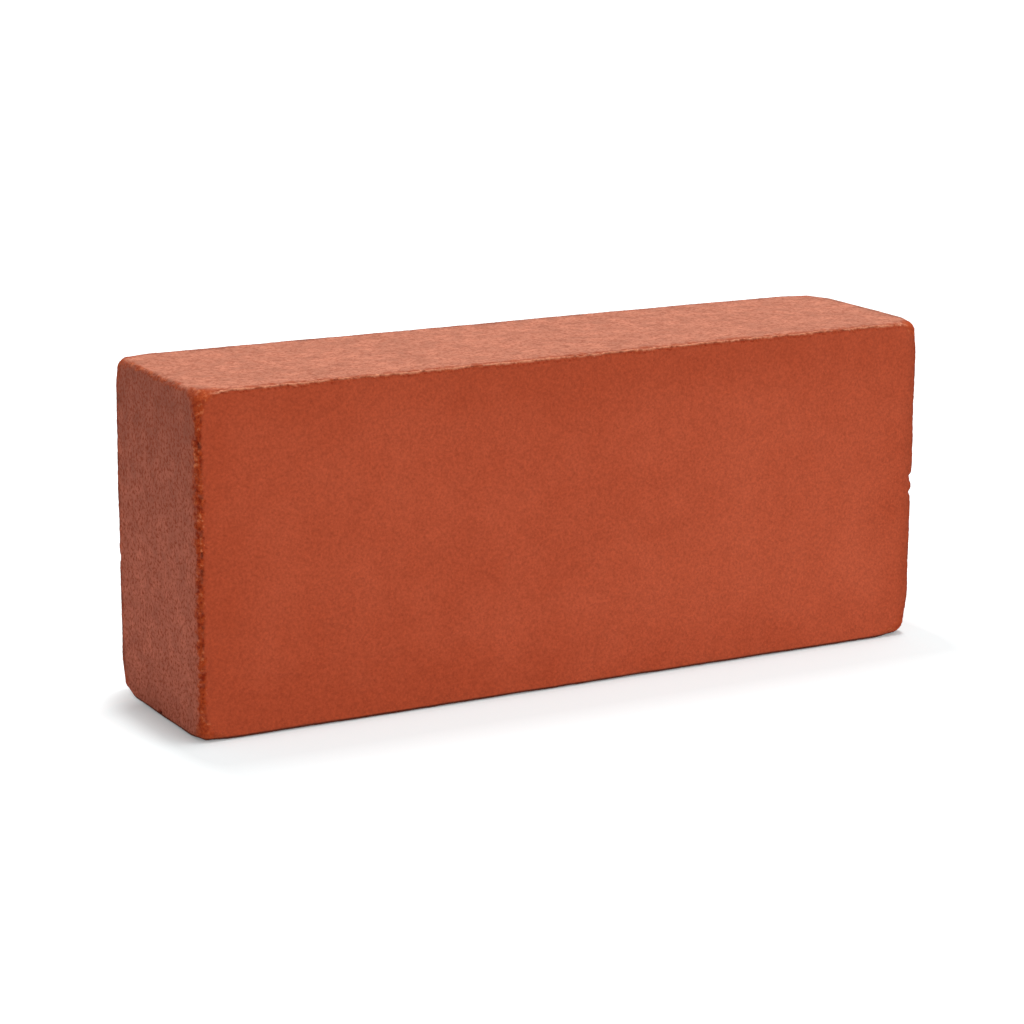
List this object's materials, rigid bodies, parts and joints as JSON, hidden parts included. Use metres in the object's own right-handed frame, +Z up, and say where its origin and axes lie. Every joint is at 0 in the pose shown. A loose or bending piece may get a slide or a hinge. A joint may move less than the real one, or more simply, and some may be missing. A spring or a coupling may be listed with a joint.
{
  "type": "clay brick",
  "caption": "Solid red fired-clay brick with softly worn edges and knocked corners, standing on a long narrow side; a masonry unit laid in mortar or paving.",
  "frame": {"origin": "middle of the long narrow side that the brick stands on", "axes": "+X along the length, +Y from the front broad face to the back broad face, +Z up"},
  "size_m": [0.215, 0.053, 0.089],
  "materials": {
    "fired_clay": "matt fired red clay, fine sandy grain, unglazed"
  },
  "bodies": {
    "root": {"brick": "fired_clay"}
  },
  "joints": []
}
